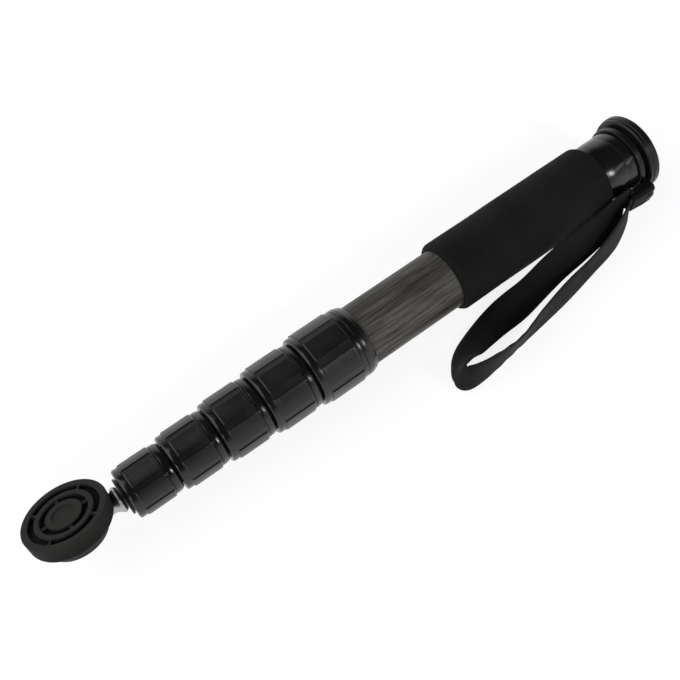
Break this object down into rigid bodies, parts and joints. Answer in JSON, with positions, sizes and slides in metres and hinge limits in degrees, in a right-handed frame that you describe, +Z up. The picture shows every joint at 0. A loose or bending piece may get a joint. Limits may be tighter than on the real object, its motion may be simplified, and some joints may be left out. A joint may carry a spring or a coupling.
{
  "type": "camera monopod",
  "caption": "Folded telescopic camera monopod: threaded stud on a round platform, foam grip, wrist strap, twist locks on carbon tubes and a large swivelling rubber foot.",
  "frame": {"origin": "centre of the platform's top face, on the leg's axis", "axes": "+X out of the platform along the leg's axis, the foot towards -X; +Z up as the folded part lies, with the wrist strap lying towards -Y"},
  "size_m": [0.3724, 0.0737, 0.0418],
  "materials": {
    "anodised": "black anodised, satin to glossy",
    "carbon": "satin carbon fibre laminate with fibres along the tube",
    "foam": "matte closed-cell foam",
    "rubber": "matte moulded rubber",
    "steel": "turned steel",
    "polished_steel": "polished",
    "nylon": "moulded nylon",
    "webbing": "black woven webbing"
  },
  "bodies": {
    "upper": {"camera_stud": "steel", "stud_lock_screw": "anodised", "platform": "anodised", "platform_pad": "rubber", "neck_collar": "anodised", "neck_sleeve": "anodised", "foam_grip": "foam", "tube_1": "carbon", "ferrule_1": "anodised", "collet_1": "nylon"},
    "strap": {"strap_ring": "anodised", "strap_keeper": "rubber", "strap_rivet": "steel", "wrist_strap": "webbing"},
    "section_2": {"tube_2": "carbon", "shims_2": "nylon", "ferrule_2": "anodised", "collet_2": "nylon"},
    "section_3": {"tube_3": "carbon", "shims_3": "nylon", "ferrule_3": "anodised", "collet_3": "nylon"},
    "section_4": {"tube_4": "carbon", "shims_4": "nylon", "ferrule_4": "anodised", "collet_4": "nylon"},
    "section_5": {"tube_5": "carbon", "shims_5": "nylon", "ferrule_5": "anodised", "collet_5": "nylon"},
    "section_6": {"tube_6": "carbon", "shims_6": "nylon", "tip_cap": "anodised"},
    "lock_ring_1": {"twist_ring_1": "anodised", "ring_grip_1": "rubber"},
    "lock_ring_2": {"twist_ring_2": "anodised", "ring_grip_2": "rubber"},
    "lock_ring_3": {"twist_ring_3": "anodised", "ring_grip_3": "rubber"},
    "lock_ring_4": {"twist_ring_4": "anodised", "ring_grip_4": "rubber"},
    "lock_ring_5": {"twist_ring_5": "anodised", "ring_grip_5": "rubber"},
    "ball": {"ball_stud": "polished_steel", "stud_clip": "steel"},
    "foot": {"ball_seat": "nylon", "foot_socket": "nylon", "foot_pad": "rubber"}
  },
  "joints": [
    {"name": "strap_swivel", "type": "hinge", "parent": "upper", "child": "strap", "pos_m": [-0.00955, 0, 0], "axis": [1, 0, 0], "continuous": true},
    {"name": "twist_1", "type": "hinge", "parent": "upper", "child": "lock_ring_1", "pos_m": [-0.2013, 0, 0], "axis": [1, 0, 0], "range_deg": [0, 120]},
    {"name": "twist_2", "type": "hinge", "parent": "section_2", "child": "lock_ring_2", "pos_m": [-0.2294, 0, 0], "axis": [1, 0, 0], "range_deg": [0, 120]},
    {"name": "twist_3", "type": "hinge", "parent": "section_3", "child": "lock_ring_3", "pos_m": [-0.255, 0, 0], "axis": [1, 0, 0], "range_deg": [0, 120]},
    {"name": "twist_4", "type": "hinge", "parent": "section_4", "child": "lock_ring_4", "pos_m": [-0.2798, 0, 0], "axis": [1, 0, 0], "range_deg": [0, 120]},
    {"name": "twist_5", "type": "hinge", "parent": "section_5", "child": "lock_ring_5", "pos_m": [-0.3041, 0, 0], "axis": [1, 0, 0], "range_deg": [0, 120]},
    {"name": "extend_1", "type": "slide", "parent": "upper", "child": "section_2", "axis": [-1, 0, 0], "range_m": [0, 0.148]},
    {"name": "extend_2", "type": "slide", "parent": "section_2", "child": "section_3", "axis": [-1, 0, 0], "range_m": [0, 0.178]},
    {"name": "extend_3", "type": "slide", "parent": "section_3", "child": "section_4", "axis": [-1, 0, 0], "range_m": [0, 0.204]},
    {"name": "extend_4", "type": "slide", "parent": "section_4", "child": "section_5", "axis": [-1, 0, 0], "range_m": [0, 0.23]},
    {"name": "extend_5", "type": "slide", "parent": "section_5", "child": "section_6", "axis": [-1, 0, 0], "range_m": [0, 0.254]},
    {"name": "foot_swivel", "type": "hinge", "parent": "section_6", "child": "ball", "pos_m": [-0.34063, 0, 0], "axis": [1, 0, 0], "continuous": true},
    {"name": "foot_tilt", "type": "hinge", "parent": "ball", "child": "foot", "pos_m": [-0.34063, 0, 0], "axis": [0, -0.848, 0.5299], "range_deg": [0, 100]}
  ]
}
